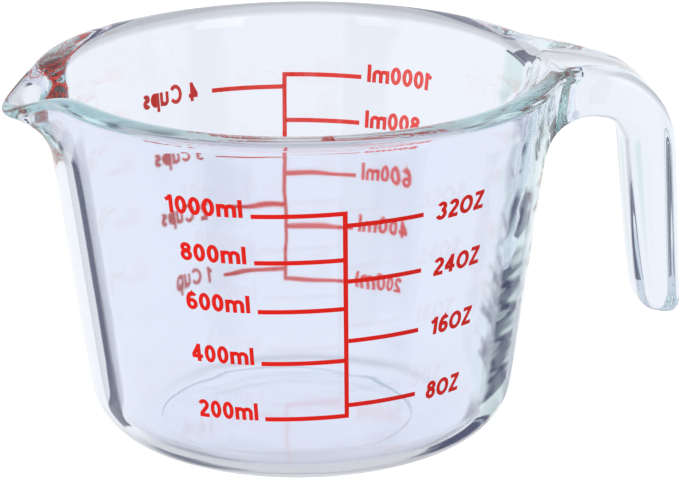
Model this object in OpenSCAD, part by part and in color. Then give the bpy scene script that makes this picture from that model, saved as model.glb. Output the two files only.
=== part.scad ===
// Glass measuring jug: one pressed glass moulding with a pouring spout and an open strap handle,
// printed outside with two red scales. The bowl's axis is Z, the table is z = 0,
// the handle points to +X, the spout to -X, the front scale to -Y and the rear scale to +Y.

/* [Bowl] */
// Height of the rim's crest above the table
jug_height = 113; // [98:0.5:134]
// Radius of the rim's crest circle
rim_radius = 75; // [68:0.2:86]
// Outer radius of the wall's line where it would meet the table
base_radius = 62.4; // [55.4:0.2:67.8]
// Wall thickness, square to the wall
wall_t = 7.4; // [4:0.1:8]
// Glass thickness of the floor above the foot ring's plane
floor_t = 4.7; // [3:0.1:8]
// Outer radius of the rounded lower corner
corner_r = 18.8; // [14:0.2:25]

/* [Rim bead] */
// Half the width of the rolled bead
bead_half_w = 4; // [2.6:0.1:4.6]
// Height of the bead's round top
bead_round_h = 2.1; // [1.6:0.1:4]
// Height of the tuck from under the bead to the plain wall
bead_tuck = 0.5; // [0.3:0.1:2.4]
// Height of the rounding from the bead's crest down to the wall inside
lip_round_h = 5.6; // [4:0.1:7]
// How far the bead stands proud of the wall outside
bead_overhang = 1.75; // [0.8:0.05:2.6]

/* [Foot] */
// Width of the flat ring that the jug stands on
foot_w = 6.6; // [4:0.2:10]
// Depth of the shallow recess inside the foot ring
foot_recess = 0.5; // [0.3:0.1:2]
// Width of the recess's gentle edge
recess_slope = 12; // [4:1:20]
// Gap between the press mark sunk in the floor inside and the floor's rounded edge
mark_gap = 2.2; // [1:0.2:8]
// Depth of the press mark
mark_depth = 0.3; // [0.1:0.1:0.8]
// How far the press mark lies from the bowl's axis, towards the spout
mark_shift = 5; // [0:0.5:6]

/* [Spout] */
// How far the lip is drawn out past the rim
spout_reach = 10.2; // [6:0.1:15]
// How far the lip drops below the rim
spout_drop = 8; // [4:0.1:10]
// Height of the wall that is drawn into the spout
spout_depth = 25.8; // [18:0.1:35]
// Half the spout's spread round the rim, in degrees
spout_half = 27; // [16:1:32]
// How late the wall curls out: 1 is a straight lean, 3 a sharp lip
spout_curl = 2.2; // [1.3:0.1:3]
// How far the shoulders beside the spout open out
shoulder_flare = 0.7; // [0:0.1:3]
// How far those shoulders rise above the rim
shoulder_rise = 1.1; // [0:0.1:3]
// Half the shoulders' spread round the rim, in degrees
shoulder_half = 70; // [50:1:80]

/* [Handle] */
// Distance from the rim's outer edge to the back of the free end
handle_reach = 37.9; // [31:0.1:47]
// Fall from the rim's crest to the free end
handle_fall = 84; // [68:0.5:92]
// Step from the rim's crest down to the top of the strap
handle_step = 1.4; // [0.4:0.1:2.4]
// Depth of the strap where it leaves the rim
root_t = 18.2; // [14:0.2:21]
// Thickness of the strap at its free end
end_t = 13.4; // [9:0.2:16]
// Width of the strap at the bend
strap_w = 26.7; // [20:0.1:33]
// Width of the strap at its free end
end_w = 23.6; // [18:0.2:30]
// Radius of the back's bend
back_bend_r = 28.8; // [20:0.2:33]
// Radius of the finger side's bend
grip_bend_r = 9.2; // [6:0.2:12]
// Outward lean of the back, in degrees
back_lean = 2.2; // [0:0.2:5]
// Outward lean of the finger side, in degrees
grip_lean = 4.5; // [1:0.2:7]
// Slant of the free end, longer at the back, in degrees
end_slant = 14; // [0:1:20]
// Rounding of the free end
end_round = 7; // [4:0.1:8]
// Depth of the root's blend on the wall, below the rim's crest
root_fall = 25.2; // [20:0.2:30]
// Half the root's spread round the rim, in degrees
root_half = 20; // [14:1:26]

/* [Printed scales] */
// Width of the printed lines
line_w = 1.35; // [0.8:0.05:2]
// Thickness of the fired enamel
ink_t = 0.2; // [0.1:0.05:0.4]
// Length of the front millilitre marks
front_ml_len = 24.8; // [18:0.2:30]
// Length of the front ounce marks
front_oz_len = 22; // [16:0.2:26]
// Length of the rear cup marks
rear_cup_len = 22.6; // [16:0.2:28]
// Length of the rear millilitre marks
rear_ml_len = 23.4; // [16:0.2:28]
// Bearing of the front stem round the bowl, in degrees
front_bearing = -88.8; // [-100:0.1:-80]
// Bearing of the rear stem round the bowl, in degrees
rear_bearing = 84.6; // [76:0.1:100]
// Turn of the front print on the wall, in degrees
front_turn = 1.6; // [-4:0.1:4]
// Turn of the rear print on the wall, in degrees
rear_turn = 1; // [-4:0.1:4]
// Step between millilitre marks
ml_step = 200; // [100:50:250]
// Highest millilitre mark
ml_top = 1000; // [600:100:1100]

/* [Hidden] */

// Volumes of the marks, in millilitres
oz_ml = 29.5735;
cup_ml = 236.588;
oz_step = 8;
mm3_per_ml = 1000;

// Facet counts of the moulding
corner_steps = 6;
wall_steps = 2;
upper_steps = 5;
root_cells = 8;
side_cells = 19;
spout_cells = 36;
blend_steps = 5;
bend_steps = 5;
run_steps = 4;
mark_steps = 6;
volume_slices = 40;
bisections = 22;

// Angles round the bead's section, from under its outer edge to its inner edge, in degrees
bead_angles = [-42, -8, 26, 60, 90, 112, 135, 158, 180];
root_bead_points = 4;
// Angles over the rounded free end, in degrees, and how far the end narrows to its tip
end_angles = [0, 22, 44, 64, 80];
end_gather = 0.95;

// How sharply the drop gathers at the lip's tip
lip_point = 2.4;
// How narrow the lip's tip is drawn out
lip_nose = 2.5;
// Exponents of the strap's section on its back and on its finger side: 2 is an ellipse, more is squarer
back_power = 7;
grip_power = 3;
// Part of the bend where the root's blend ends
root_blend = 0.28;
// Where the end's slant starts along the straight run
slant_start = 0.5;
// Pull of the root's blend on the wall side and on the strap side
wall_pull = 1.2;
strap_pull = 1;
// Least outward share of the blend's first direction
blend_outward = 0.15;

// Wall line: radius grows by taper for each millimetre of height
bead_depth = bead_round_h * (1 - sin(bead_angles[0])) + bead_tuck;
bead_z = jug_height - bead_depth;
rim_outer_r = rim_radius + bead_half_w;
taper = (rim_outer_r - bead_overhang - base_radius) / bead_z;
lean = atan(taper);
wall_run = wall_t / cos(lean);
inner_corner_r = corner_r - wall_t;
root_z = jug_height - root_fall;
spout_z = jug_height - spout_depth;
curl_h = spout_depth - bead_depth;

// Handle side curves in the XZ plane
back_z = jug_height - handle_step;
grip_z = back_z - root_t;
end_z = jug_height - handle_fall;
back_end_x = rim_outer_r + handle_reach;
grip_end_x = back_end_x - end_t;

function lerp(a, b, t) = a + (b - a) * t;
function fade(u) = 0.5 + 0.5 * cos(180 * min(1, max(0, u)));
function ease(u) = 1 - fade(u);
function unit(v) = v / norm(v);
function total(list) = list * [for (item = list) 1];

// Outer and inner radius of the plain wall at height z
function wall_r(z) = base_radius + taper * z;
function wall_inner_r(z) = wall_r(z) - wall_run;

// Inner rounding of the rim: where it starts on the wall and how wide it is
lip_z = jug_height - lip_round_h;
lip_w = rim_radius - wall_inner_r(lip_z);

// Centre radius of a rounded corner of radius r that sits on height z and touches the wall line
function corner_centre(r, z, line_r) = line_r + taper * (z + r) - r / cos(lean);
outer_corner_x = corner_centre(corner_r, 0, base_radius);
inner_corner_x = corner_centre(inner_corner_r, floor_t, base_radius - wall_run);
mark_r = inner_corner_x - mark_shift - mark_gap;

// Cavity radius at height z, round corner included
function cavity_r(z) =
    let (rise = floor_t + inner_corner_r - z)
    rise > inner_corner_r * sin(lean)
        ? inner_corner_x + sqrt(max(0, pow(inner_corner_r, 2) - pow(rise, 2)))
        : wall_inner_r(z);

// Volume held below height z, and the height that holds a volume, in millilitres
function held_ml(z) =
    let (slice = (z - floor_t) / volume_slices)
    total([for (i = [0 : volume_slices - 1]) PI * pow(cavity_r(floor_t + (i + 0.5) * slice), 2)])
        * slice / mm3_per_ml;
function fill_z(ml, low = floor_t, high = bead_z, left = bisections) =
    let (mid = (low + high) / 2)
    left == 0 ? mid
        : held_ml(mid) < ml ? fill_z(ml, mid, high, left - 1)
        : fill_z(ml, low, mid, left - 1);

// The marks that the bowl can hold
brim_ml = held_ml(bead_z - line_w);
ml_marks = [for (ml = [ml_step : ml_step : ml_top]) if (ml < brim_ml) fill_z(ml)];
oz_marks = [for (oz = [oz_step : oz_step : 4 * oz_step]) if (oz * oz_ml < brim_ml) fill_z(oz * oz_ml)];
cup_marks = [for (cups = [1 : 4]) if (cups * cup_ml < brim_ml) fill_z(cups * cup_ml)];
stem_low = ml_marks[0];
stem_high = max(concat(ml_marks, cup_marks));
print_mid = (stem_low + stem_high) / 2;

// Section of the glass as rings of [radius, height], from the foot up, over the rim and down to the floor
function corner_arc(r, x, z) =
    [for (i = [0 : corner_steps]) let (a = lerp(-90, -lean, i / corner_steps)) [x + r * cos(a), z + r + r * sin(a)]];
function reversed(list) = [for (i = [len(list) - 1 : -1 : 0]) list[i]];
foot_arc = corner_arc(corner_r, outer_corner_x, 0);
floor_arc = corner_arc(inner_corner_r, inner_corner_x, floor_t);
corner_top = foot_arc[corner_steps][1];
lower_zs = [for (i = [1 : wall_steps]) lerp(corner_top, root_z, i / (wall_steps + 1))];
upper_zs = [for (i = [0 : upper_steps]) lerp(root_z, bead_z, i / upper_steps)];
wall_zs = concat(lower_zs, upper_zs);
inner_zs = [for (z = wall_zs) if (z < lip_z) z];
bead_ring = [for (a = bead_angles)
    let (half_w = a < 90 ? bead_half_w : lip_w)
    let (round_h = a < 90 ? bead_round_h : lip_round_h)
    [rim_radius + half_w * cos(a), jug_height - round_h + round_h * sin(a)]];
section = concat(
    foot_arc,
    [for (z = wall_zs) [wall_r(z), z]],
    bead_ring,
    [for (z = reversed(inner_zs)) [wall_inner_r(z), z]],
    reversed(floor_arc));

// Bearings of the section's copies: even steps in the root, the sides and the spout
function steps(a, b, n) = [for (i = [0 : n - 1]) lerp(a, b, i / n)];
bearings = concat(
    steps(-root_half, root_half, root_cells),
    steps(root_half, 180 - shoulder_half, side_cells),
    steps(180 - shoulder_half, 180 + shoulder_half, spout_cells),
    steps(180 + shoulder_half, 360 - root_half, side_cells));
ring_n = len(bearings);
section_n = len(section);

// A section point turned to bearing a and drawn out into the spout
function drawn(p, a) =
    let (off = abs(180 - (a + 360) % 360))
    let (curl = pow(min(1, max(0, (p[1] - spout_z) / curl_h)), spout_curl))
    let (lip = fade(off / spout_half))
    let (shoulder = fade(off / shoulder_half))
    let (r = p[0] + curl * (spout_reach * pow(lip, lip_nose) + shoulder_flare * shoulder))
    let (z = p[1] + curl * (shoulder_rise * shoulder - spout_drop * pow(lip, lip_point)))
    [r * cos(a), r * sin(a), z];

// One side of the strap: f runs 0 to 1 out from the wall, 1 to 2 round the bend, 2 to 3 down to the end
function strap_side(f, top_z, end_x, side_lean, bend_r) =
    let (corner_x = end_x - (top_z - end_z) * tan(side_lean))
    let (centre = [corner_x - bend_r * tan((90 - side_lean) / 2), top_z - bend_r])
    let (turn = lerp(90, side_lean, min(1, max(0, f - 1))))
    let (on_bend = centre + bend_r * [cos(turn), sin(turn)])
    f < 1 ? [lerp(rim_radius, centre[0], f), top_z]
        : f < 2 ? on_bend
        : lerp(on_bend, [end_x, end_z], f - 2);
function back_at(f) = strap_side(f, back_z, back_end_x, back_lean, back_bend_r);
function grip_at(f) = strap_side(f, grip_z, grip_end_x, grip_lean, grip_bend_r);

// A point of the strap's section at f, for a place [across, through] on the unit square's edge
function strap_point(f, place, size = 1, push = 0, slant = 0) =
    let (back = back_at(f))
    let (grip = grip_at(f))
    let (out = unit(back - grip))
    let (along = [out[1], -out[0]])
    let (turn = atan2(place[1], place[0]))
    let (power = place[1] > 0 ? back_power : grip_power)
    let (reach = pow(pow(abs(cos(turn)), power) + pow(abs(sin(turn)), power), -1 / power))
    let (width = lerp(strap_w, end_w, max(0, f - 1) / 2))
    let (through = size * reach * sin(turn) * norm(back - grip) / 2)
    let (p = (back + grip) / 2 + out * through + along * (push + through * tan(slant)))
    [p[0], size * reach * cos(turn) * width / 2, p[1]];

// The patch of the moulding that the handle grows from, as [bearing index, section index] round its edge
root_low = corner_steps + 1 + wall_steps;
root_high = root_low + upper_steps + root_bead_points;
root_rows = root_high - root_low;
root_loop = concat(
    [for (i = [0 : root_cells - 1]) [i, root_low]],
    [for (j = [root_low : root_high - 1]) [root_cells, j]],
    [for (i = [root_cells : -1 : 1]) [i, root_high]],
    [for (j = [root_high : -1 : root_low + 1]) [0, j]]);
loop_n = len(root_loop);
loop_places = [for (c = root_loop) [2 * c[0] / root_cells - 1, 2 * (c[1] - root_low) / root_rows - 1]];

// Direction in which the root's blend leaves the moulding: up the wall below, along the rim at both sides,
// and straight out along the top
function leave_wall(place, a) =
    let (up = [taper * cos(a), taper * sin(a), 1])
    let (inward = [sin(a), -cos(a), 0] * sign(place[0]))
    let (outward = [cos(a), sin(a), 0])
    let (flank = pow(abs(place[0]), 3))
    let (below = pow(max(0, -place[1]), 3))
    let (above = pow(max(0, place[1]), 3) * (1 - flank))
    unit(below * up + flank * inward + above * outward + [blend_outward, 0, 0]);

// Cubic blend from point p with direction u to point q with direction v
function hermite(p, u, q, v, t) =
    (2 * pow(t, 3) - 3 * pow(t, 2) + 1) * p + (pow(t, 3) - 2 * pow(t, 2) + t) * u
        + (3 * pow(t, 2) - 2 * pow(t, 3)) * q + (pow(t, 3) - pow(t, 2)) * v;
blend_f = 1 + root_blend;
blend_out = unit(back_at(blend_f) - grip_at(blend_f));
function root_point(k, t) =
    let (a = bearings[root_loop[k][0]])
    let (p = drawn(section[root_loop[k][1]], a))
    let (q = strap_point(blend_f, loop_places[k]))
    let (span = norm(q - p))
    hermite(p, leave_wall(loop_places[k], a) * span * wall_pull,
            q, [blend_out[1], 0, -blend_out[0]] * span * strap_pull, t);

// Rings of the handle after the patch's own edge
run_share = 1 - end_round / norm(back_at(3) - back_at(2));
function slant_at(f) = end_slant * ease((f - 2 - slant_start) / (run_share - slant_start));
root_rings = [for (s = [1 : blend_steps]) [for (k = [0 : loop_n - 1]) root_point(k, s / blend_steps)]];
strap_fs = concat(
    [for (s = [1 : bend_steps]) lerp(blend_f, 2, s / bend_steps)],
    [for (s = [1 : run_steps - 1]) 2 + run_share * s / run_steps]);
strap_rings = [for (f = strap_fs) [for (place = loop_places) strap_point(f, place, 1, 0, slant_at(f))]];
end_rings = [for (a = end_angles)
    let (size = 1 - end_gather * (1 - cos(a)))
    [for (place = loop_places) strap_point(3, place, size, end_round * (sin(a) - 1), end_slant)]];
handle_rings = concat(root_rings, strap_rings, end_rings);
handle_n = len(handle_rings);

// Points and faces of the moulding: section rings, handle rings, then the three end points
glass_points = concat(
    [for (p = section) each [for (a = bearings) drawn(p, a)]],
    [for (ring = handle_rings) each ring],
    [[0, 0, 0], [0, 0, floor_t], strap_point(3, [0, 1], 0)]);
handle_start = section_n * ring_n;
foot_pole = handle_start + handle_n * loop_n;
floor_pole = foot_pole + 1;
end_pole = foot_pole + 2;
function glass_id(i, j) = j * ring_n + i % ring_n;
function handle_id(k, s) =
    s == 0 ? glass_id(root_loop[k % loop_n][0], root_loop[k % loop_n][1])
        : handle_start + (s - 1) * loop_n + k % loop_n;
function in_root(i, j) = i < root_cells && j >= root_low && j < root_high;
function quad(a, b, c, d) = [[a, c, b], [a, d, c]];
glass_faces = concat(
    [for (j = [0 : section_n - 2]) for (i = [0 : ring_n - 1]) if (!in_root(i, j))
        each quad(glass_id(i, j), glass_id(i + 1, j), glass_id(i + 1, j + 1), glass_id(i, j + 1))],
    [for (s = [0 : handle_n - 1]) for (k = [0 : loop_n - 1])
        each quad(handle_id(k, s), handle_id(k + 1, s), handle_id(k + 1, s + 1), handle_id(k, s + 1))],
    [for (i = [0 : ring_n - 1]) [foot_pole, glass_id(i, 0), glass_id(i + 1, 0)]],
    [for (i = [0 : ring_n - 1]) [floor_pole, glass_id(i + 1, section_n - 1), glass_id(i, section_n - 1)]],
    [for (k = [0 : loop_n - 1]) [end_pole, handle_id(k + 1, handle_n), handle_id(k, handle_n)]]);

// Shallow dish under the floor, which leaves the flat foot ring
module foot_dish() {
    dish_r = outer_corner_x - foot_w;
    rotate_extrude($fn = 96)
        polygon([[0, -1], [dish_r, -1], [dish_r, 0], [dish_r - recess_slope, foot_recess], [0, foot_recess]]);
}

// Round mark that the press leaves in the floor inside
module press_mark() {
    translate([-mark_shift, 0, floor_t - mark_depth])
        cylinder(r1 = mark_r - mark_depth, r2 = mark_r, h = 2 * mark_depth, $fn = 96);
}

module glass_jug() {
    color([0.80, 0.90, 0.90, 0.45])
        difference() {
            polyhedron(points = glass_points, faces = glass_faces, convexity = 8);
            foot_dish();
            press_mark();
        }
}

// A point of a print: u along and v up its own sheet, turned about the print's middle, on the wall
print_r = wall_r(print_mid);
function on_wall(u, v, bearing, turn, lift) =
    let (rise = v - print_mid)
    let (z = print_mid + u * sin(turn) + rise * cos(turn))
    let (a = bearing + (u * cos(turn) - rise * sin(turn)) / print_r * 180 / PI)
    let (r = wall_r(z) + lift)
    [r * cos(a), r * sin(a), z];

// A printed line on the wall from [u, v] to [u, v], with square ends
module printed_line(from, to, bearing, turn) {
    side = [from[1] - to[1], to[0] - from[0]] * line_w / 2 / norm(to - from);
    corners = [[side, 0], [-side, 0], [-side, ink_t], [side, ink_t]];
    points = [for (s = [0 : mark_steps]) for (c = corners)
        let (p = lerp(from, to, s / mark_steps) + c[0])
        on_wall(p[0], p[1], bearing, turn, c[1])];
    last = 4 * mark_steps;
    faces = concat(
        [[0, 2, 1], [0, 3, 2], [last, last + 1, last + 2], [last, last + 2, last + 3]],
        [for (s = [0 : mark_steps - 1]) for (c = [0 : 3])
            each quad(4 * s + c, 4 * s + 4 + c, 4 * s + 4 + (c + 1) % 4, 4 * s + (c + 1) % 4)]);
    color("crimson") polyhedron(points = points, faces = faces);
}

module stem(bearing, turn) {
    printed_line([0, stem_low - line_w / 2], [0, stem_high + line_w / 2], bearing, turn);
}

// Marks from the stem's edge out to one side: 1 is right and -1 is left, seen from outside
module ticks(heights, length, side, bearing, turn) {
    for (v = heights)
        printed_line([side * line_w / 2, v], [side * (line_w / 2 + length), v], bearing, turn);
}

module front_stem() stem(front_bearing, front_turn);
module front_ml_ticks() ticks(ml_marks, front_ml_len, -1, front_bearing, front_turn);
module front_oz_ticks() ticks(oz_marks, front_oz_len, 1, front_bearing, front_turn);
module rear_stem() stem(rear_bearing, rear_turn);
module rear_cup_ticks() ticks(cup_marks, rear_cup_len, 1, rear_bearing, rear_turn);
module rear_ml_ticks() ticks(ml_marks, rear_ml_len, -1, rear_bearing, rear_turn);

glass_jug();
front_stem();
front_ml_ticks();
front_oz_ticks();
rear_stem();
rear_cup_ticks();
rear_ml_ticks();
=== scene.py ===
import math

import bmesh
import bpy
from mathutils import Matrix, Vector
from mathutils.geometry import delaunay_2d_cdt


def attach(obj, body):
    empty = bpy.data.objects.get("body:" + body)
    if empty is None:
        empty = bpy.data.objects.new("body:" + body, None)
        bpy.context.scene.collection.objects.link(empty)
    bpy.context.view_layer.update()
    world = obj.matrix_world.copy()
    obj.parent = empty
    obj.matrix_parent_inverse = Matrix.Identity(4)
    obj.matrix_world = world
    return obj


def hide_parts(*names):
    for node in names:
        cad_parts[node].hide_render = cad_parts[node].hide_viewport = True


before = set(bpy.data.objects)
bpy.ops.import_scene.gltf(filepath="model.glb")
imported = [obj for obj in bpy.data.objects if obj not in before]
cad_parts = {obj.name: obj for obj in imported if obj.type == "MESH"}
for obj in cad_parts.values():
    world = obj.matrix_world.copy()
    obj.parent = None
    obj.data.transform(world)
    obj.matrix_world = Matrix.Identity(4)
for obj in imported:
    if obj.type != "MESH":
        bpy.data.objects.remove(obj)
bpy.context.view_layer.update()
scene = bpy.context.scene
mm = 0.001  # sizes below are in millimetres, angles in degrees
print("frame loaded:", sorted(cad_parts))


# Small sums shared by the shapes

def lerp(a, b, t):
    return a + (b - a) * t


def fade(u):
    return 0.5 + 0.5 * math.cos(math.pi * min(1.0, max(0.0, u)))


# How much a ring of points has to grow so that its smoothed curve keeps the radius
def limitSwell(stepAngle):
    return 3 / (2 + math.cos(math.radians(stepAngle)))


# A socket that takes part in sums, so that a formula in nodes reads like one in Python
class Field:
    def __init__(self, tree, socket):
        self.tree = tree
        self.socket = socket

    def math(self, operation, *others):
        node = self.tree.nodes.new("ShaderNodeMath")
        node.operation = operation
        for place, value in enumerate((self, *others)):
            if isinstance(value, Field):
                self.tree.links.new(value.socket, node.inputs[place])
            else:
                node.inputs[place].default_value = value
        return Field(self.tree, node.outputs[0])

    def __add__(self, other):
        return self.math("ADD", other)

    def __sub__(self, other):
        return self.math("SUBTRACT", other)

    def __mul__(self, other):
        return self.math("MULTIPLY", other)

    def __truediv__(self, other):
        return self.math("DIVIDE", other)

    def power(self, other):
        return self.math("POWER", other)

    def fade(self):  # 1 at 0, 0 at 1 and past it, with a level start and end
        angle = self.math("MINIMUM", 1.0).math("MAXIMUM", 0.0) * math.pi
        return angle.math("COSINE") * 0.5 + 0.5


def newNode(tree, kind, links=None, **settings):
    node = tree.nodes.new(kind)
    for name, value in settings.items():
        setattr(node, name, value)
    for name, value in (links or {}).items():
        if isinstance(value, Field):
            tree.links.new(value.socket, node.inputs[name])
        elif isinstance(value, bpy.types.NodeSocket):
            tree.links.new(value, node.inputs[name])
        else:
            node.inputs[name].default_value = value
    return node


def newGeometryTree(name, inputs):
    tree = bpy.data.node_groups.new(name, "GeometryNodeTree")
    tree.interface.new_socket("Geometry", in_out="INPUT", socket_type="NodeSocketGeometry")
    for label, kind in inputs.items():
        tree.interface.new_socket(label, in_out="INPUT", socket_type="NodeSocket" + kind)
    tree.interface.new_socket("Geometry", in_out="OUTPUT", socket_type="NodeSocketGeometry")
    entry = tree.nodes.new("NodeGroupInput")
    outlet = tree.nodes.new("NodeGroupOutput")
    return tree, entry, outlet


def splitVector(tree, vector):
    node = newNode(tree, "ShaderNodeSeparateXYZ", {"Vector": vector})
    return [Field(tree, socket) for socket in node.outputs]


def position(tree):
    return splitVector(tree, tree.nodes.new("GeometryNodeInputPosition").outputs[0])


def setPosition(tree, geometry, x, y, z):
    place = newNode(tree, "ShaderNodeCombineXYZ", {"X": x, "Y": y, "Z": z})
    node = newNode(tree, "GeometryNodeSetPosition", {"Geometry": geometry, "Position": place.outputs[0]})
    return node.outputs["Geometry"]


# Last step of a tree that makes a piece
def coat(tree, geometry, finish, outlet):
    coated = newNode(tree, "GeometryNodeSetMaterial", {"Geometry": geometry, "Material": finish})
    tree.links.new(coated.outputs[0], outlet.inputs[0])


def meshObject(name, points, faces):
    mesh = bpy.data.meshes.new(name)
    mesh.from_pydata([Vector(p) * mm for p in points], [], faces)
    piece = bpy.data.objects.new(name, mesh)
    scene.collection.objects.link(piece)
    return piece


# Runs the tree on the piece and keeps the result as a plain mesh
def applyTree(piece, tree, values):
    modifier = piece.modifiers.new(tree.name, "NODES")
    modifier.node_group = tree
    for socket in tree.interface.items_tree:
        if socket.in_out == "INPUT" and socket.name in values:
            modifier[socket.identifier] = values[socket.name]
    evaluated = piece.evaluated_get(bpy.context.evaluated_depsgraph_get())
    mesh = bpy.data.meshes.new_from_object(evaluated)
    piece.modifiers.remove(modifier)
    piece.data = mesh
    mesh.name = piece.name
    return piece


# Camera at the photograph's viewing angle; the picture is 680 x 482
view = {
    "aim": (11.84, -2.08, 57.56),
    "distance": 1269.4,
    "turn": -10.0,  # round the jug from straight in front, towards the spout
    "elevation": 18.02,
    "roll": -0.44,
    "lens": 221.5,
    "sensor": 36.0,
    "clip": (50.0, 20000.0),
}


def makeCamera():
    turn, elevation, roll = (math.radians(view[k]) for k in ("turn", "elevation", "roll"))
    flat = math.cos(elevation)
    back = Vector((math.sin(turn) * flat, -math.cos(turn) * flat, math.sin(elevation)))
    level = Vector((0, 0, 1)).cross(back).normalized()
    upright = back.cross(level)
    right = level * math.cos(roll) + upright * math.sin(roll)
    up = back.cross(right)
    data = bpy.data.cameras.new("photoCamera")
    data.lens = view["lens"]
    data.sensor_width = view["sensor"]
    data.clip_start, data.clip_end = (distance * mm for distance in view["clip"])
    camera = bpy.data.objects.new("photoCamera", data)
    place = Matrix((right, up, back)).transposed().to_4x4()
    place.translation = (Vector(view["aim"]) + back * view["distance"]) * mm
    camera.matrix_world = place
    scene.collection.objects.link(camera)
    scene.camera = camera


makeCamera()
print("camera set")


# Glass shape: sizes of the moulding
bowl = {
    "height": 113.0,
    "rimRadius": 75.0,
    "baseRadius": 62.4,
    "wall": 7.4,
    "floor": 4.7,
    "cornerRadius": 18.8,
    "beadHalfWidth": 4.0,
    "beadRound": 2.1,
    "beadDepth": 4.0,
    "lipRound": 5.6,
    "beadOverhang": 1.75,
    "footWidth": 6.6,
    "footEdge": (-0.5, 1.2),  # rings at both sides of the foot's inner edge, which keep it crisp
    "footRecess": 0.5,
    "recessSlope": 12.0,
    "recessRing": 0.4,  # share of the recess's radius
    "markRadius": 38.4,
    "markDepth": 0.3,
    "markEdge": (0.5, -1.0),  # rings outside and inside the press mark's edge
    "markRing": 0.5,  # share of the mark's radius
    "markShift": 5.0,  # the press mark in the floor lies off the axis, towards the spout
    "cornerSteps": 6,
    "lowerRings": 2,
    "upperRings": 5,
    "rootCells": 8,
    "sideCells": 19,
    "spoutCells": 36,
    "smoothing": 2,
}
# Round the bead, from under its outer edge to its inner edge
beadAngles = (-42, -8, 26, 60, 90, 112, 135, 158, 180)
rootBeadRows = 4  # of the bead, within the handle's root

spout = {
    "Reach": 10.2,
    "Drop": 8.0,
    "Depth": 25.8,
    "Spread": 27.0,
    "Curl": 2.2,
    "Lip Point": 2.4,
    "Lip Nose": 2.5,
    "Shoulder Flare": 0.7,
    "Shoulder Rise": 1.1,
    "Shoulder Spread": 70.0,
}

handle = {
    "reach": 37.9,
    "fall": 84.0,
    "step": 1.4,
    "rootDepth": 18.2,
    "endThickness": 13.4,
    "width": 26.7,
    "endWidth": 23.6,
    "backBend": 28.8,
    "gripBend": 9.2,
    "backLean": 2.2,
    "gripLean": 4.5,
    "endSlant": 14.0,
    "endRound": 7.0,
    "rootFall": 25.2,
    "rootHalf": 20.0,
    "backSquareness": 7.0,
    "gripSquareness": 3.0,
    "blendAt": 1.28,
    "slantStart": 0.5,
    "wallPull": 1.2,
    "strapPull": 1.0,
    "blendOutward": 0.15,
    "blendSteps": 5,
    "bendSteps": 5,
    "runSteps": 4,
    "endAngles": (0, 22, 44, 64, 80),
    "endGather": 0.95,
}

beadZ = bowl["height"] - bowl["beadDepth"]
rimOuter = bowl["rimRadius"] + bowl["beadHalfWidth"]
taper = (rimOuter - bowl["beadOverhang"] - bowl["baseRadius"]) / beadZ
lean = math.degrees(math.atan(taper))
wallRun = bowl["wall"] / math.cos(math.radians(lean))
rootZ = bowl["height"] - handle["rootFall"]


def wallRadius(z):
    return bowl["baseRadius"] + taper * z


lipZ = bowl["height"] - bowl["lipRound"]
lipWidth = bowl["rimRadius"] - wallRadius(lipZ) + wallRun


# Points of a rounded corner that sits on height z and runs up into the wall line
def cornerArc(radius, z, lineRadius):
    centre = lineRadius + taper * (z + radius) - radius / math.cos(math.radians(lean))
    steps = bowl["cornerSteps"]
    swell = limitSwell((90 - lean) / steps)
    points = []
    for i in range(steps + 1):
        angle = math.radians(lerp(-90, -lean, i / steps))
        reach = radius * (swell if 0 < i < steps else 1)
        points.append((centre + reach * math.cos(angle), z + radius + reach * math.sin(angle)))
    return points


# Section of the glass as (radius, height), from under the foot up the wall, over the rim and to the floor
def glassSection():
    footArc = cornerArc(bowl["cornerRadius"], 0, bowl["baseRadius"])
    floorArc = cornerArc(bowl["cornerRadius"] - bowl["wall"], bowl["floor"], bowl["baseRadius"] - wallRun)
    dish = footArc[0][0] - bowl["footWidth"]
    recess = bowl["footRecess"]
    slope = bowl["recessSlope"]
    under = [(dish * bowl["recessRing"], recess), (dish - slope, recess), (dish - slope / 2, recess / 2)]
    under += [(dish + out, 0) for out in bowl["footEdge"]]
    markTop, markLow = bowl["floor"], bowl["floor"] - bowl["markDepth"]
    outside, inside = bowl["markEdge"]
    markSteps = ((outside, markTop), (0, markTop), (-bowl["markDepth"], markLow), (inside, markLow))
    mark = [(bowl["markRadius"] + out, z) for out, z in markSteps]
    cornerTop = footArc[-1][1]
    lower = [lerp(cornerTop, rootZ, (i + 1) / (bowl["lowerRings"] + 1)) for i in range(bowl["lowerRings"])]
    upper = [lerp(rootZ, beadZ, i / bowl["upperRings"]) for i in range(bowl["upperRings"] + 1)]
    heights = lower + upper
    bead = []
    for angle in beadAngles:
        turn = math.radians(angle)
        width = bowl["beadHalfWidth"] if angle < 90 else lipWidth
        rise = bowl["beadRound"] if angle < 90 else bowl["lipRound"]
        z = bowl["height"] + rise * (math.sin(turn) - 1)
        bead.append((bowl["rimRadius"] + width * math.cos(turn), z))
    outer = [(wallRadius(z), z) for z in heights]
    inner = [(wallRadius(z) - wallRun, z) for z in reversed(heights) if z < lipZ]
    rootLow = len(under) + len(footArc) + len(lower)
    section = under + footArc + outer + bead + inner + floorArc[::-1] + mark
    section.append((bowl["markRadius"] * bowl["markRing"], markLow))
    return section, rootLow, len(section) - len(mark) - 1


# Bearings of the section's copies: even steps in the handle's root, the sides and the spout
def glassBearings():
    root, shoulder = handle["rootHalf"], spout["Shoulder Spread"]
    stretches = ((-root, root, "rootCells"), (root, 180 - shoulder, "sideCells"),
                 (180 - shoulder, 180 + shoulder, "spoutCells"), (180 + shoulder, 360 - root, "sideCells"))
    return [lerp(a, b, i / bowl[cells]) for a, b, cells in stretches for i in range(bowl[cells])]


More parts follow.
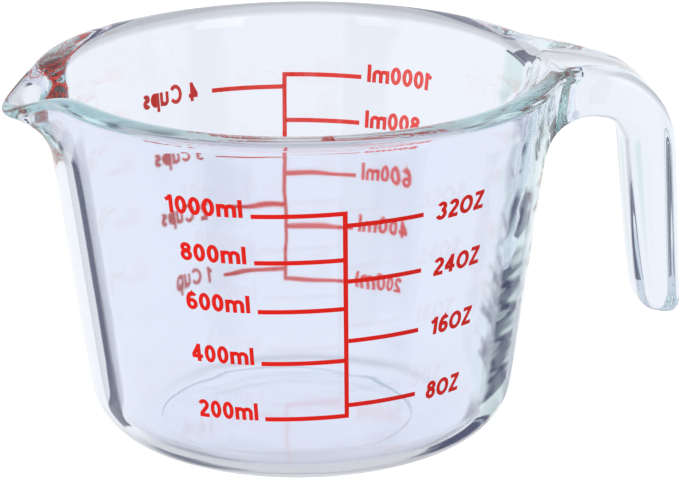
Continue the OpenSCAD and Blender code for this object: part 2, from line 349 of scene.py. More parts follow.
# One side of the strap: f runs 0 to 1 out from the wall, 1 to 2 round the bend, 2 to 3 down to the end
def strapSide(f, topZ, endX, sideLean, bend):
    endZ = bowl["height"] - handle["fall"]
    slope = math.radians(sideLean)
    cornerX = endX - (topZ - endZ) * math.tan(slope)
    centre = Vector((cornerX - bend * math.tan((math.pi / 2 - slope) / 2), topZ - bend))
    turn = lerp(math.pi / 2, slope, min(1, max(0, f - 1)))
    onBend = centre + bend * Vector((math.cos(turn), math.sin(turn)))
    if f < 1:
        return Vector((lerp(bowl["rimRadius"], centre.x, f), topZ))
    return onBend if f < 2 else onBend.lerp(Vector((endX, endZ)), f - 2)


def strapSides(f):
    backZ = bowl["height"] - handle["step"]
    backX = rimOuter + handle["reach"]
    back = strapSide(f, backZ, backX, handle["backLean"], handle["backBend"])
    grip = strapSide(f, backZ - handle["rootDepth"], backX - handle["endThickness"],
                     handle["gripLean"], handle["gripBend"])
    return back, grip


# A point of the strap's rounded section at f, for a place (across, through) on the unit square's edge
def strapPoint(f, place, size=1.0, push=0.0, slant=0.0):
    back, grip = strapSides(f)
    out = (back - grip).normalized()
    along = Vector((out.y, -out.x))
    turn = math.atan2(place[1], place[0])
    power = handle["backSquareness" if place[1] > 0 else "gripSquareness"]
    reach = (abs(math.cos(turn)) ** power + abs(math.sin(turn)) ** power) ** (-1 / power)
    width = lerp(handle["width"], handle["endWidth"], max(0, f - 1) / 2)
    through = size * reach * math.sin(turn) * (back - grip).length / 2
    p = (back + grip) / 2 + out * through + along * (push + through * math.tan(math.radians(slant)))
    return Vector((p.x, size * reach * math.cos(turn) * width / 2, p.y))


# Direction in which the root's blend leaves the moulding: up the wall below, along the rim at both sides,
# and straight out along the top
def leaveWall(place, bearing):
    a = math.radians(bearing)
    outward = Vector((math.cos(a), math.sin(a), 0))
    up = outward * taper + Vector((0, 0, 1))
    inward = Vector((math.sin(a), -math.cos(a), 0)) * math.copysign(1, place[0])
    flank = abs(place[0]) ** 3
    below = max(0, -place[1]) ** 3
    above = max(0, place[1]) ** 3 * (1 - flank)
    way = below * up + flank * inward + above * outward + Vector((handle["blendOutward"], 0, 0))
    return way.normalized()


def hermite(p, u, q, v, t):
    return ((2 * t ** 3 - 3 * t ** 2 + 1) * p + (t ** 3 - 2 * t ** 2 + t) * u
            + (3 * t ** 2 - 2 * t ** 3) * q + (t ** 3 - t ** 2) * v)


# Rings of the handle: the blend out of the root, the strap, and the rounded end with its last point
def handleRings(places, edge, edgeBearings):
    f0 = handle["blendAt"]
    back, grip = strapSides(f0)
    out = (back - grip).normalized()
    along = Vector((out.y, 0, -out.x))
    rings = []
    for step in range(1, handle["blendSteps"] + 1):
        ring = []
        for place, p, bearing in zip(places, edge, edgeBearings):
            q = strapPoint(f0, place)
            span = (q - p).length
            ring.append(hermite(p, leaveWall(place, bearing) * span * handle["wallPull"],
                                q, along * span * handle["strapPull"], step / handle["blendSteps"]))
        rings.append(ring)
    runLength = (strapSides(3)[0] - strapSides(2)[0]).length
    runShare = 1 - handle["endRound"] / runLength
    stations = [lerp(f0, 2, (s + 1) / handle["bendSteps"]) for s in range(handle["bendSteps"])]
    stations += [2 + runShare * s / handle["runSteps"] for s in range(1, handle["runSteps"])]
    for f in stations:
        slanted = (f - 2 - handle["slantStart"]) / (runShare - handle["slantStart"])
        slant = handle["endSlant"] * (1 - fade(slanted))
        rings.append([strapPoint(f, place, slant=slant) for place in places])
    for angle in handle["endAngles"]:
        turn = math.radians(angle)
        size = 1 - handle["endGather"] * (1 - math.cos(turn))
        push = handle["endRound"] * (math.sin(turn) - 1)
        rings.append([strapPoint(3, place, size, push, handle["endSlant"]) for place in places])
    return rings, strapPoint(3, (0, 1), 0.0)


# Cage of the moulding before the spout is drawn: turned section, open at the root, with the handle on it
def glassCage():
    section, rootLow, markStart = glassSection()
    bearings = glassBearings()
    count = len(bearings)
    swell = limitSwell(2 * handle["rootHalf"] / bowl["rootCells"])
    points = []
    for j, (radius, z) in enumerate(section):
        shift = bowl["markShift"] if j >= markStart else 0
        for bearing in bearings:
            a = math.radians(bearing)
            points.append(Vector((radius * swell * math.cos(a) - shift, radius * swell * math.sin(a), z)))
    cells = bowl["rootCells"]
    rows = bowl["upperRings"] + rootBeadRows
    rootHigh = rootLow + rows
    loop = [(i, rootLow) for i in range(cells)] + [(cells, j) for j in range(rootLow, rootHigh)]
    loop += [(i, rootHigh) for i in range(cells, 0, -1)] + [(0, j) for j in range(rootHigh, rootLow, -1)]
    faces = []
    for j in range(len(section) - 1):
        for i in range(count):
            if not (i < cells and rootLow <= j < rootHigh):
                k = (i + 1) % count
                faces.append((j * count + i, j * count + k, (j + 1) * count + k, (j + 1) * count + i))
    places = [(2 * i / cells - 1, 2 * (j - rootLow) / rows - 1) for i, j in loop]
    last = [j * count + i for i, j in loop]
    rings, tip = handleRings(places, [points[n] for n in last], [bearings[i] for i, j in loop])
    for ring in rings:
        start = len(points)
        points.extend(ring)
        ids = range(start, start + len(ring))
        for n in range(len(ring)):
            m = (n + 1) % len(ring)
            faces.append((last[n], last[m], ids[m], ids[n]))
        last = ids
    points.append(tip)
    faces.extend((last[n], last[(n + 1) % len(last)], len(points) - 1) for n in range(len(last)))
    for ring, x, z in ((0, 0, section[0][1]), (len(section) - 1, -bowl["markShift"], section[-1][1])):
        points.append(Vector((x, 0, z)))
        pole = len(points) - 1
        for i in range(count):
            edge = (ring * count + i, ring * count + (i + 1) % count)
            faces.append((pole, *(edge[::-1] if ring == 0 else edge)))
    return points, faces


# Tree that draws the spout out of a round rim, then smooths the cage
def spoutTree():
    sizes = (*spout, "Rim Height", "Bead Depth")
    tree, entry, outlet = newGeometryTree("drawSpout", {
        **{name: "Float" for name in sizes}, "Smoothing": "Int", "Finish": "Material"})
    given = {socket.name: Field(tree, socket) for socket in entry.outputs}
    x, y, z = position(tree)
    radius = (x * x + y * y).math("SQRT")
    off = y.math("ARCTAN2", x * -1.0).math("ABSOLUTE")
    rise = (z - given["Rim Height"] + given["Depth"]) / (given["Depth"] - given["Bead Depth"])
    curl = rise.math("MAXIMUM", 0.0).math("MINIMUM", 1.0).power(given["Curl"])
    lip = (off / given["Spread"]).fade()
    shoulder = (off / given["Shoulder Spread"]).fade()
    push = given["Reach"] * lip.power(given["Lip Nose"]) + given["Shoulder Flare"] * shoulder
    grown = radius + curl * push
    share = grown / radius.math("MAXIMUM", mm * mm)
    lift = curl * (given["Shoulder Rise"] * shoulder - given["Drop"] * lip.power(given["Lip Point"]))
    drawn = setPosition(tree, entry.outputs["Geometry"], x * share, y * share, z + lift)
    smooth = newNode(tree, "GeometryNodeSubdivisionSurface", {"Mesh": drawn, "Level": given["Smoothing"]})
    shaded = newNode(tree, "GeometryNodeSetShadeSmooth", {"Geometry": smooth.outputs[0]})
    whole = newNode(tree, "GeometryNodeRealizeInstances", {"Geometry": shaded.outputs[0]})
    coat(tree, whole.outputs[0], given["Finish"], outlet)
    return tree


def makeGlass(finish):
    points, faces = glassCage()
    piece = meshObject("jugGlass", points, faces)
    shape = bmesh.new()
    shape.from_mesh(piece.data)
    bmesh.ops.recalc_face_normals(shape, faces=shape.faces)
    shape.to_mesh(piece.data)
    shape.free()
    values = {"Rim Height": bowl["height"] * mm, "Bead Depth": bowl["beadDepth"] * mm,
              "Smoothing": bowl["smoothing"], "Finish": finish}
    for name, size in spout.items():
        isAngle = name.endswith("Spread")
        isPower = name in ("Curl", "Lip Point", "Lip Nose")
        values[name] = math.radians(size) if isAngle else size if isPower else size * mm
    applyTree(piece, spoutTree(), values)
    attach(piece, "root")
    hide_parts("glass_jug")
    print("glass:", len(piece.data.polygons), "faces")


# Print on the wall: sizes shared by both scales
ink = {
    "lineWidth": 1.35,
    "proud": 0.12,
    "sunk": 0.12,
    "capHeight": 5.55,
    "pen": 0.212,  # share of the cap height, as all the figures' own sizes
    "letterGap": 0.1,
    "arcStep": 15.0,
    "barPoints": 14,  # along each bar, so that it follows the wall's curve
    "mlPerOunce": 29.5735,
    "mlPerCup": 236.588,
}


def cavityRadius(z):
    corner = bowl["cornerRadius"] - bowl["wall"]
    centreZ = bowl["floor"] + corner
    centre = wallRadius(centreZ) - wallRun - corner / math.cos(math.radians(lean))
    below = centreZ - z
    if below > corner * math.sin(math.radians(lean)):
        return centre + math.sqrt(max(0, corner ** 2 - below ** 2))
    return wallRadius(z) - wallRun


# Height at which the bowl holds a volume in millilitres
def fillHeight(volume, slices=4000):
    thickness = (beadZ - bowl["floor"]) / slices
    held = 0.0
    for i in range(slices):
        z = bowl["floor"] + (i + 0.5) * thickness
        held += math.pi * cavityRadius(z) ** 2 * thickness * mm
        if held >= volume:
            return z
    return beadZ


mlHeights = {volume: fillHeight(volume) for volume in (200, 400, 600, 800, 1000)}
ounceHeights = {ounces: fillHeight(ounces * ink["mlPerOunce"]) for ounces in (8, 16, 24, 32)}
cupHeights = {cups: fillHeight(cups * ink["mlPerCup"]) for cups in (1, 2, 3, 4)}
stemLow, stemHigh = mlHeights[200], mlHeights[1000]
printMiddle = (stemLow + stemHigh) / 2


wrapNames = ("Bearing", "Turn", "Middle", "Base Radius", "Taper")


# Tree that bends a flat sheet (x along, y up, z out) round the tapered wall
def wrapTree():
    tree, entry, outlet = newGeometryTree("wrapOnWall", {name: "Float" for name in wrapNames})
    given = {socket.name: Field(tree, socket) for socket in entry.outputs}
    x, y, z = position(tree)
    rise = y - given["Middle"]
    sine, cosine = given["Turn"].math("SINE"), given["Turn"].math("COSINE")
    height = given["Middle"] + x * sine + rise * cosine
    sheetRadius = given["Base Radius"] + given["Taper"] * given["Middle"]
    angle = given["Bearing"] + (x * cosine - rise * sine) / sheetRadius
    radius = given["Base Radius"] + given["Taper"] * height + z
    bent = setPosition(tree, entry.outputs["Geometry"], radius * angle.math("COSINE"),
                       radius * angle.math("SINE"), height)
    tree.links.new(bent, outlet.inputs[0])
    return tree


def addWrap(tree, entry, geometry):
    group = tree.nodes.new("GeometryNodeGroup")
    group.node_tree = bpy.data.node_groups["wrapOnWall"]
    tree.links.new(geometry, group.inputs["Geometry"])
    for name in wrapNames:
        tree.links.new(entry.outputs[name], group.inputs[name])
    return group.outputs["Geometry"]


# Tree that sets one printed bar on each point of a row, then wraps the row
def marksTree():
    tree, entry, outlet = newGeometryTree("printMarks", {
        "Length": "Float", "Height": "Float", "Proud": "Float", "Sunk": "Float", "Side": "Float",
        **{name: "Float" for name in wrapNames}, "Finish": "Material"})
    given = {socket.name: Field(tree, socket) for socket in entry.outputs}
    size = newNode(tree, "ShaderNodeCombineXYZ", {
        "X": given["Length"], "Y": given["Height"], "Z": given["Proud"] + given["Sunk"]})
    bar = newNode(tree, "GeometryNodeMeshCube", {
        "Size": size.outputs[0], "Vertices X": ink["barPoints"], "Vertices Y": 2, "Vertices Z": 2})
    shift = newNode(tree, "ShaderNodeCombineXYZ", {
        "X": given["Length"] * given["Side"] * 0.5, "Z": (given["Proud"] - given["Sunk"]) * 0.5})
    moved = newNode(tree, "GeometryNodeTransform", {
        "Geometry": bar.outputs[0], "Translation": shift.outputs[0]})
    rows = newNode(tree, "GeometryNodeInstanceOnPoints", {
        "Points": entry.outputs["Geometry"], "Instance": moved.outputs[0]})
    whole = newNode(tree, "GeometryNodeRealizeInstances", {"Geometry": rows.outputs[0]})
    wrapped = addWrap(tree, entry, whole.outputs[0])
    coat(tree, wrapped, given["Finish"], outlet)
    return tree


# Tree that wraps flat figures
def figuresTree():
    tree, entry, outlet = newGeometryTree("printFigures", {
        **{name: "Float" for name in wrapNames}, "Finish": "Material"})
    wrapped = addWrap(tree, entry, entry.outputs["Geometry"])
    whole = newNode(tree, "GeometryNodeRealizeInstances", {"Geometry": wrapped})
    coat(tree, whole.outputs[0], entry.outputs["Finish"], outlet)
    return tree


# Figures drawn with an even pen, in cap heights: an arc is part of an ellipse from one angle to another
def arc(x, y, rx, ry, start, end):
    steps = max(4, round(abs(end - start) / ink["arcStep"]))
    turns = [math.radians(lerp(start, end, i / steps)) for i in range(steps + 1)]
    return [Vector((x + rx * math.cos(t), y + ry * math.sin(t))) for t in turns]


def line(*places):
    return [Vector(p) for p in places]


figures = {  # width and strokes of each figure
    " ": (0.30, []),
    "0": (0.62, [arc(0.31, 0.5, 0.205, 0.4, 0, 360)]),
    "1": (0.47, [line((0.345, 0), (0.345, 1)), line((0.06, 0.71), (0.21, 0.78), (0.345, 0.93))]),
    "2": (0.62, [arc(0.305, 0.69, 0.2, 0.21, 165, -38) + line((0.125, 0.16)),
                 line((0.035, 0.09), (0.6, 0.09))]),
    "3": (0.62, [arc(0.29, 0.725, 0.18, 0.18, 160, -90), arc(0.29, 0.32, 0.215, 0.225, 90, -162)]),
    "4": (0.66, [line((0.42, 0), (0.42, 1)), line((0.44, 0.94), (0.08, 0.34)),
                 line((0.02, 0.30), (0.64, 0.30))]),
    "6": (0.62, [arc(0.315, 0.315, 0.205, 0.22, 0, 360),
                 arc(0.335, 0.42, 0.23, 0.485, 190, 90) + arc(0.335, 0.73, 0.175, 0.175, 90, 15)]),
    "8": (0.62, [arc(0.31, 0.735, 0.18, 0.17, 0, 360), arc(0.31, 0.31, 0.21, 0.215, 0, 360)]),
    "m": (0.98, [line((0.1, 0), (0.1, 0.73)), arc(0.295, 0.43, 0.195, 0.2, 180, 0) + line((0.49, 0)),
                 arc(0.685, 0.43, 0.195, 0.2, 180, 0) + line((0.88, 0))]),
    "l": (0.20, [line((0.1, 0), (0.1, 1))]),
    "O": (0.84, [arc(0.42, 0.5, 0.315, 0.405, 0, 360)]),
    "Z": (0.70, [line((0.05, 0.91), (0.65, 0.91)), line((0.57, 0.90), (0.12, 0.10)),
                 line((0.03, 0.09), (0.68, 0.09))]),
    "C": (0.90, [arc(0.46, 0.5, 0.36, 0.41, 38, 322)]),
    "u": (0.64, [line((0.1, 0.73), (0.1, 0.33)) + arc(0.32, 0.30, 0.22, 0.215, 180, 360),
                 line((0.54, 0.73), (0.54, 0))]),
    "p": (0.66, [line((0.1, 0.73), (0.1, -0.27)), arc(0.335, 0.365, 0.235, 0.27, 0, 360)]),
    "s": (0.56, [arc(0.28, 0.52, 0.175, 0.125, 25, 270) + arc(0.28, 0.24, 0.19, 0.155, 90, -155)]),
}


# Both sides of a stroke, mitred at its corners, as four-sided cells
def strokeCells(path, pen):
    closed = (path[0] - path[-1]).length < 1e-6
    path = path[:-1] if closed else path
    count = len(path)
    sides = []
    for i, p in enumerate(path):
        before = path[i - 1] if closed or i > 0 else None
        after = path[(i + 1) % count] if closed or i < count - 1 else None
        ways = [(p - before).normalized() if before else None, (after - p).normalized() if after else None]
        ways = [w for w in ways if w]
        mean = sum(ways, Vector((0, 0))).normalized()
        across = Vector((-mean.y, mean.x))
        reach = pen / 2 / max(0.5, mean.dot(ways[0]))
        sides.append((p + across * reach, p - across * reach))
    pairs = zip(sides, sides[1:] + sides[:1]) if closed else zip(sides, sides[1:])
    return [(a[0], a[1], b[1], b[0]) for a, b in pairs]


# A line of figures as flat triangles, its left end at x = 0, and its length, in cap heights
def figureLine(text):
    corners, cells, x = [], [], 0.0
    for letter in text:
        width, strokes = figures[letter]
        for path in strokes:
            for cell in strokeCells(path, ink["pen"]):
                cells.append(range(len(corners), len(corners) + 4))
                corners.extend(p + Vector((x, 0)) for p in cell)
        x += width + ink["letterGap"]
    points, _, triangles, _, _, within = delaunay_2d_cdt(corners, [], [list(c) for c in cells], 1, 1e-4)
    inked = [t for t, sources in zip(triangles, within) if sources]  # without the holes in the figures
    return points, inked, x - ink["letterGap"]


# Lines of figures on one side of a stem, as one flat piece
def figureSheet(name, side, start, labels, capHeight, drop, narrow, slant):
    shape = bmesh.new()
    for text, height in labels:
        points, triangles, length = figureLine(text)
        left = start if side > 0 else -start - length * capHeight * narrow
        tilt = math.tan(math.radians(slant))
        corners = []
        for p in points:
            x = left + (p.x * narrow + p.y * tilt) * capHeight
            y = height - drop + p.y * capHeight
            corners.append(shape.verts.new(Vector((x, y, -ink["sunk"])) * mm))
        base = [shape.faces.new([corners[n] for n in t]) for t in triangles]
        raised = bmesh.ops.extrude_face_region(shape, geom=base)["geom"]
        for corner in raised:
            if isinstance(corner, bmesh.types.BMVert):
                corner.co.z = ink["proud"] * mm
    bmesh.ops.recalc_face_normals(shape, faces=shape.faces)
    piece = meshObject(name, [], [])
    shape.to_mesh(piece.data)
    shape.free()
    return piece


frontScale = {
    "bearing": -88.8,
    "turn": 1.6,
    "mlLength": 24.8,
    "ounceLength": 22.0,
    "mlGap": 2.2,
    "ounceGap": 4.05,
    "mlNarrow": 1.02,
    "mlDrop": 0.45,
    "ounceDrop": 2.75,
    "ounceCap": 5.5,
    "ounceSlant": 5.0,
}
rearScale = {
    "bearing": 84.6,
    "turn": 1.0,
    "mlLength": 23.4,
    "cupLength": 22.6,
    "mlGap": 1.95,
    "cupGap": 4.9,
    "mlDrop": 1.35,
    "cupDrop": 2.55,
    "cupCap": 5.9,
    "cupNarrow": 0.83,
    "lift": 0.15,  # sets all but the cup marks just clear of the glass, so that the spout shows less red
}


def wrapValues(scale, lift):
    return {"Bearing": math.radians(scale["bearing"]), "Turn": math.radians(scale["turn"]),
            "Middle": printMiddle * mm, "Base Radius": (bowl["baseRadius"] + lift) * mm, "Taper": taper}


def finishPrint(piece, node=None):
    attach(piece, "root")
    if node:
        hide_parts(node)


# One bar at each place, to one side of it, or across it where side is 0
def printBars(name, node, scale, places, length, height, side, finish, tree, lift):
    piece = meshObject(name, places, [])
    applyTree(piece, tree, {"Length": length * mm, "Height": height * mm, "Side": float(side),
                            "Proud": ink["proud"] * mm, "Sunk": ink["sunk"] * mm, "Finish": finish,
                            **wrapValues(scale, lift)})
    finishPrint(piece, node)


def printMarks(name, node, scale, heights, length, side, finish, tree, lift=0.0):
    places = [(ink["lineWidth"] / 2 * side, z, 0) for z in heights]
    printBars(name, node, scale, places, length, ink["lineWidth"], side, finish, tree, lift)


def printStem(name, node, scale, finish, tree, lift=0.0):
    height = stemHigh - stemLow + ink["lineWidth"]
    printBars(name, node, scale, [(0, printMiddle, 0)], ink["lineWidth"], height, 0, finish, tree, lift)


def printFigures(name, scale, side, start, labels, drop, finish, tree,
                 capHeight=ink["capHeight"], narrow=1.0, slant=0.0, lift=0.0):
    piece = figureSheet(name, side, start + ink["lineWidth"] / 2, labels, capHeight, drop, narrow, slant)
    applyTree(piece, tree, {"Finish": finish, **wrapValues(scale, lift)})
    finishPrint(piece)


def makePrint(finish, rearPaintedLightFinish):
    wrapTree()
    marks, wrapped = marksTree(), figuresTree()
    mlLabels = [(f"{volume}ml", z) for volume, z in mlHeights.items()]
    ounceLabels = [(f"{ounces}OZ", z) for ounces, z in ounceHeights.items()]
    cupLabels = [(f"{cups} Cup" + "s" * (cups > 1), z) for cups, z in cupHeights.items()]
    front, rear = frontScale, rearScale
    printStem("frontStem", "front_stem", front, finish, marks)
    printMarks("frontMlMarks", "front_ml_ticks", front, mlHeights.values(),
               front["mlLength"], -1, finish, marks)
    printMarks("frontOunceMarks", "front_oz_ticks", front, ounceHeights.values(),
               front["ounceLength"], 1, finish, marks)
    printFigures("frontMlFigures", front, -1, front["mlLength"] + front["mlGap"], mlLabels,
                 front["mlDrop"], finish, wrapped, narrow=front["mlNarrow"])
    printFigures("frontOunceFigures", front, 1, front["ounceLength"] + front["ounceGap"], ounceLabels,
                 front["ounceDrop"], finish, wrapped, front["ounceCap"], slant=front["ounceSlant"])
    # The rear print's material is the front's enamel, painted lighter for the light the glass keeps from it
    printStem("rearStem", "rear_stem", rear, rearPaintedLightFinish, marks, rear["lift"])
    printMarks("rearMlMarks", "rear_ml_ticks", rear, mlHeights.values(),
               rear["mlLength"], -1, rearPaintedLightFinish, marks, rear["lift"])
    printMarks("rearCupMarks", "rear_cup_ticks", rear, cupHeights.values(),
               rear["cupLength"], 1, rearPaintedLightFinish, marks)
    printFigures("rearMlFigures", rear, -1, rear["mlLength"] + rear["mlGap"], mlLabels,
                 rear["mlDrop"], rearPaintedLightFinish, wrapped, lift=rear["lift"])
    printFigures("rearCupFigures", rear, 1, rear["cupLength"] + rear["cupGap"], cupLabels,
                 rear["cupDrop"], rearPaintedLightFinish, wrapped, rear["cupCap"], rear["cupNarrow"], lift=rear["lift"])
    print("print: 2 stems, 4 rows of marks, 4 sheets of figures")


# Materials

rippleNoise = {"Detail": 1.0, "Roughness": 0.3}
patchNoise = {"Detail": 3.0, "Roughness": 0.6}


# Shared ripple of a fired surface: Height feeds a bump, Patches vary colour or gloss
def rippleGroup():
    tree = bpy.data.node_groups.new("firedRipple", "ShaderNodeTree")
    for name in ("Ripple Scale", "Ripple Stretch", "Patch Scale"):
        tree.interface.new_socket(name, in_out="INPUT", socket_type="NodeSocketFloat")
    for name in ("Height", "Patches"):
        tree.interface.new_socket(name, in_out="OUTPUT", socket_type="NodeSocketFloat")
    entry = tree.nodes.new("NodeGroupInput")
    outlet = tree.nodes.new("NodeGroupOutput")
    place = tree.nodes.new("ShaderNodeTexCoord").outputs["Object"]
    share = newNode(tree, "ShaderNodeCombineXYZ", {
        "X": entry.outputs["Ripple Stretch"], "Y": entry.outputs["Ripple Stretch"], "Z": 1.0})
    stretched = newNode(tree, "ShaderNodeVectorMath", {0: place, 1: share.outputs[0]}, operation="MULTIPLY")
    ripple = newNode(tree, "ShaderNodeTexNoise", {
        "Vector": stretched.outputs[0], "Scale": entry.outputs["Ripple Scale"], **rippleNoise})
    patches = newNode(tree, "ShaderNodeTexNoise", {
        "Vector": place, "Scale": entry.outputs["Patch Scale"], **patchNoise})
    tree.links.new((Field(tree, ripple.outputs[0]) - 0.5).socket, outlet.inputs["Height"])
    tree.links.new(patches.outputs[0], outlet.inputs["Patches"])
    return tree


def newRipple(tree, group, scale, stretch, patchScale):
    return newNode(tree, "ShaderNodeGroup", {
        "Ripple Scale": scale, "Ripple Stretch": stretch, "Patch Scale": patchScale}, node_tree=group)


# A value that goes from one level to another between two places
def ramp(tree, value, start, end, low=0.0, high=1.0, kind="SMOOTHSTEP"):
    node = newNode(tree, "ShaderNodeMapRange", {
        "Value": value, "From Min": start, "From Max": end, "To Min": low, "To Max": high},
        interpolation_type=kind)
    return Field(tree, node.outputs[0])


# A mix of two colours, each three numbers or a socket
def mixColour(tree, share, first, second):
    node = newNode(tree, "ShaderNodeMix", {"Factor": share}, data_type="RGBA")
    inputs = [socket for socket in node.inputs if socket.type == "RGBA"]
    for place, colour in zip(inputs, (first, second)):
        if isinstance(colour, tuple):
            place.default_value = (*colour, 1)
        else:
            tree.links.new(colour, place)
    return next(socket for socket in node.outputs if socket.type == "RGBA")


def newMaterial(name):
    material = bpy.data.materials.new(name)
    material.use_nodes = True
    tree = material.node_tree
    return material, tree, tree.nodes["Principled BSDF"]


glassLook = {
    "tint": (0.88, 0.905, 0.985),
    "ior": 1.5,
    "depthTint": (0.56, 0.90, 0.87),
    "depthDensity": 3.0,
    # Scale, stretch across, depth, then changes along x: start, end, share before and after
    "ripples": (
        (90.0, 0.55, 0.15, ((-62.0, -46.0, 0.015, 1.0), (80.0, 88.0, 1.0, 0.1))),
        (110.0, 0.08, 0.4, ((42.0, 56.0, 0.0, 1.0), (78.0, 86.0, 1.0, 0.0)))),
    "patchScale": 40.0,
    "patchRange": (0.5, 0.8),
    "roughness": (0.0, 0.012),
    # Worn front wall and floor: axis, start, end, roughness
    "hazes": (("Y", -45.0, -30.0, 0.042), ("Z", 7.0, 13.0, 0.07)),
    "shadow": (0.96, 0.965, 0.975),
}


def makeGlassLook(group):
    material, tree, surface = newMaterial("clearGlass")
    output = tree.nodes["Material Output"]
    look = glassLook
    surface.inputs["Base Color"].default_value = (*look["tint"], 1)
    surface.inputs["Transmission Weight"].default_value = 1.0
    surface.inputs["IOR"].default_value = look["ior"]
    place = dict(zip("XYZ", splitVector(tree, tree.nodes.new("ShaderNodeTexCoord").outputs["Object"])))
    total = None
    for scale, stretch, depth, changes in look["ripples"]:
        ripple = newRipple(tree, group, scale, stretch, look["patchScale"])
        height = Field(tree, ripple.outputs["Height"]) * depth
        for start, end, before, after in changes:
            height = height * ramp(tree, place["X"], start * mm, end * mm, before, after)
        total = total + height if total else height
    rough = ramp(tree, ripple.outputs["Patches"], *look["patchRange"], *look["roughness"], "LINEAR")
    for axis, start, end, worn in look["hazes"]:
        rough = rough.math("MAXIMUM", ramp(tree, place[axis], start * mm, end * mm, worn, 0.0))
    tree.links.new(rough.socket, surface.inputs["Roughness"])
    bump = newNode(tree, "ShaderNodeBump", {"Height": total, "Strength": 1.0, "Distance": mm})
    tree.links.new(bump.outputs[0], surface.inputs["Normal"])
    clear = newNode(tree, "ShaderNodeBsdfTransparent", {"Color": (*look["shadow"], 1)})
    path = tree.nodes.new("ShaderNodeLightPath")
    mix = newNode(tree, "ShaderNodeMixShader", {"Fac": path.outputs["Is Shadow Ray"]})
    tree.links.new(surface.outputs[0], mix.inputs[1])
    tree.links.new(clear.outputs[0], mix.inputs[2])
    tree.links.new(mix.outputs[0], output.inputs["Surface"])
    inner = newNode(tree, "ShaderNodeVolumeAbsorption", {
        "Color": (*look["depthTint"], 1), "Density": look["depthDensity"]})
    tree.links.new(inner.outputs[0], output.inputs["Volume"])
    return material


enamelLook = {
    "colour": (0.46, 0.004, 0.0015),
    "worn": (0.40, 0.006, 0.002),
    # The rear print is the same enamel as the front. Its red is painted lighter to make up for the light it
    # loses behind the glass, which is painted light. Its worn patches vary as the front's do.
    "rearPaintedLightColour": (0.74, 0.032, 0.016),
    "rearPaintedLightWorn": (0.68, 0.04, 0.022),
    "rippleScale": 900.0,
    "rippleStretch": 1.0,
    "rippleDepth": 0.01,
    "patchScale": 300.0,
    "patchRange": (0.3, 0.7),
    "roughness": (0.35, 0.5),
    "specular": 0.1,
}


def makeEnamelLook(group, name, colourName, wornName):
    material, tree, surface = newMaterial(name)
    look = enamelLook
    surface.inputs["Specular IOR Level"].default_value = look["specular"]
    ripple = newRipple(tree, group, look["rippleScale"], look["rippleStretch"], look["patchScale"])
    patches = ripple.outputs["Patches"]
    colour = mixColour(tree, patches, look[colourName], look[wornName])
    tree.links.new(colour, surface.inputs["Base Color"])
    rough = ramp(tree, patches, *look["patchRange"], *look["roughness"], "LINEAR")
    tree.links.new(rough.socket, surface.inputs["Roughness"])
    bump = newNode(tree, "ShaderNodeBump", {
        "Height": ripple.outputs["Height"], "Strength": 1.0, "Distance": look["rippleDepth"] * mm})
    tree.links.new(bump.outputs[0], surface.inputs["Normal"])
    return material


# Stage: white floor, surround with dark gaps between its bright sides, strip lamps in front.
# Bearings in the surround run from straight behind the jug towards the handle
stage = {
    "floorHalf": 4000.0,
    "floorDrop": 0.3,
    "floorColour": (0.3, 0.3, 0.3),
    "floorGlow": 0.8,
    "bright": (1.0, 1.0, 1.0),
    "dark": (0.068, 0.077, 0.14),
    "shaded": (0.0, 0.0, 0.0),
    "above": (0.72, 0.74, 0.80),  # ceiling and the room round the set
    # Elevations where the white ends: in front and on the right, behind and on the left
    "skyline": (-6.0, 20.0),
    "skylineTurn": (-50.0, 75.0, 110.0),  # middle bearing of the higher part, start and end of its fall
    "under": (-45.0, -28.0, 0.28),  # shade straight below: whole and ended elevations, depth
    "underEnds": (80.0, 110.0),  # bearings at both sides between which that shade ends
    "behind": (6.0, 18.0, 40.0),  # shade on the table right behind the jug: middle bearing, whole and ended
    "shadow": (-31.0, -21.0, 0.27),  # its whole and ended elevations, depth
    "shadowLine": (-43.0, 4.0, 11.0, 0.18),  # darker line in that shade: elevation, half width, ended, depth
    "gaps": (  # middle bearing, half width, lowest and highest elevation, share
        (-37.0, 8.0, -27.0, -10.0, 1.0),
        (46.0, 20.0, -25.4, -21.4, 1.0),
        (50.0, 15.0, -50.0, -26.2, 1.0),
        (-15.0, 13.0, -54.0, -40.0, 0.75),
        (140.0, 12.0, -33.0, 20.0, 0.85),
        (224.0, 12.0, -33.0, 20.0, 0.85)),
    "soft": 1.2,
    "green": (46.0, 18.0, -28.0, -12.0),  # tinted wall beside two gaps: bearing, half width, elevations
    "greenSoft": (4.0, 3.0),  # soft edges in bearing and elevation
    "greenColour": (0.80, 0.91, 0.86),
    # Upright strip lamps: bearing from straight in front, distance, width, height and brightness
    "lamps": ((-49.0, 900.0, 260.0, 900.0, 1.3), (32.0, 900.0, 420.0, 900.0, 1.6)),
    "suns": ((-55.0, 40.0, 3.4), (165.0, 40.0, 2.2)),  # bearing from straight in front, elevation, strength
    "sunSpread": 30.0,
}


def makeFloor():
    half, z = stage["floorHalf"], -stage["floorDrop"]
    corners = [(-half, -half, z), (half, -half, z), (half, half, z), (-half, half, z)]
    floor = meshObject("floor", corners, [(0, 1, 2, 3)])
    material, _, surface = newMaterial("whiteFloor")
    surface.inputs["Base Color"].default_value = (*stage["floorColour"], 1)
    surface.inputs["Roughness"].default_value = 1.0
    surface.inputs["Specular IOR Level"].default_value = 0.0
    surface.inputs["Emission Color"].default_value = (*stage["bright"], 1)
    surface.inputs["Emission Strength"].default_value = stage["floorGlow"]
    floor.data.materials.append(material)
    floor.visible_transmission = floor.visible_glossy = False  # the glass sees the surround instead


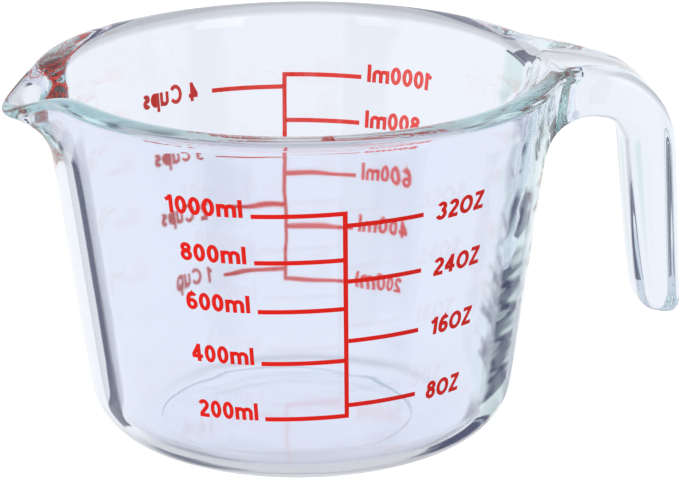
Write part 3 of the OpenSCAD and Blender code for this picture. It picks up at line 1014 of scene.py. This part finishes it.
# White world below a dim skyline, with dark gaps, which show as dark lines along the glass's edges
def makeWorld():
    world = bpy.data.worlds.new("studio")
    world.use_nodes = True
    tree = world.node_tree
    light = tree.nodes["Background"]
    x, y, z = splitVector(tree, tree.nodes.new("ShaderNodeTexCoord").outputs["Generated"])
    bearing = x.math("ARCTAN2", y) * (180 / math.pi)
    elevation = z.math("ARCSINE") * (180 / math.pi)
    soft = stage["soft"]

    def away(middle):  # how far a bearing lies from the middle one, to either side
        return (bearing - middle).math("PINGPONG", 180.0)

    def window(middle, half, lowest, highest, softSide, softEnd):
        inside = ramp(tree, away(middle), half - softSide, half + softSide, 1.0, 0.0)
        inside = inside * ramp(tree, elevation, lowest - softEnd, lowest + softEnd)
        return inside * ramp(tree, elevation, highest - softEnd, highest + softEnd, 1.0, 0.0)

    gaps = None
    for *edges, share in stage["gaps"]:
        gap = window(*edges, soft, soft) * share
        gaps = gaps + gap if gaps else gap
    whole, ended, depth = stage["under"]
    below = ramp(tree, elevation, whole, ended, depth, 0.0)
    below = below * ramp(tree, bearing.math("ABSOLUTE"), *stage["underEnds"], 1.0, 0.0)
    middle, whole, ended = stage["behind"]
    behind = ramp(tree, away(middle), whole, ended, 1.0, 0.0)
    whole, ended, depth = stage["shadow"]
    shadow = behind * ramp(tree, elevation, whole, ended, depth, 0.0)
    level, half, ended, depth = stage["shadowLine"]
    streak = behind * ramp(tree, (elevation - level).math("ABSOLUTE"), half, ended, depth, 0.0)
    shade = below.math("MAXIMUM", shadow) + streak
    low, high = stage["skyline"]
    middle, start, end = stage["skylineTurn"]
    sky = ramp(tree, elevation - ramp(tree, away(middle), start, end, high, low), -soft, soft)
    green = window(*stage["green"], *stage["greenSoft"])
    colour = mixColour(tree, green, stage["bright"], stage["greenColour"])
    for share, tone in ((shade, "shaded"), (sky, "above"), (gaps, "dark")):
        colour = mixColour(tree, share, colour, stage[tone])
    tree.links.new(colour, light.inputs["Color"])
    scene.world = world


def makeLamps():
    for number, (bearing, distance, width, height, brightness) in enumerate(stage["lamps"]):
        turn = math.radians(bearing)
        data = bpy.data.lights.new("stripLamp%d" % number, "AREA")
        data.shape = "RECTANGLE"
        data.size, data.size_y = width * mm, height * mm
        data.energy = brightness * math.pi * data.size * data.size_y
        lamp = bpy.data.objects.new("stripLamp%d" % number, data)
        lamp.location = Vector((math.sin(turn) * distance, -math.cos(turn) * distance, height / 2)) * mm
        lamp.rotation_euler = (math.pi / 2, 0, turn)
        lamp.visible_transmission = False
        scene.collection.objects.link(lamp)
    for number, (bearing, elevation, strength) in enumerate(stage["suns"]):
        data = bpy.data.lights.new("fillSun%d" % number, "SUN")
        data.energy, data.angle = strength, math.radians(stage["sunSpread"])
        sun = bpy.data.objects.new("fillSun%d" % number, data)
        sun.rotation_euler = (math.radians(90 - elevation), 0, math.radians(bearing))
        sun.visible_glossy = sun.visible_transmission = False  # lights the print without glints in the glass
        scene.collection.objects.link(sun)


ripple = rippleGroup()
makeGlass(makeGlassLook(ripple))
# The rear print gets a second enamel: the same red, painted lighter for the light it lacks behind the glass
makePrint(makeEnamelLook(ripple, "redEnamel", "colour", "worn"),
          makeEnamelLook(ripple, "redEnamelRearPaintedLight", "rearPaintedLightColour", "rearPaintedLightWorn"))
makeFloor()
makeLamps()
makeWorld()
print("stage: floor, lamps and surround")

glassBounces = 64
scene.view_settings.view_transform = "Standard"
scene.cycles.max_bounces = glassBounces
scene.cycles.transmission_bounces = glassBounces
scene.cycles.glossy_bounces = glassBounces
scene.cycles.transparent_max_bounces = 24
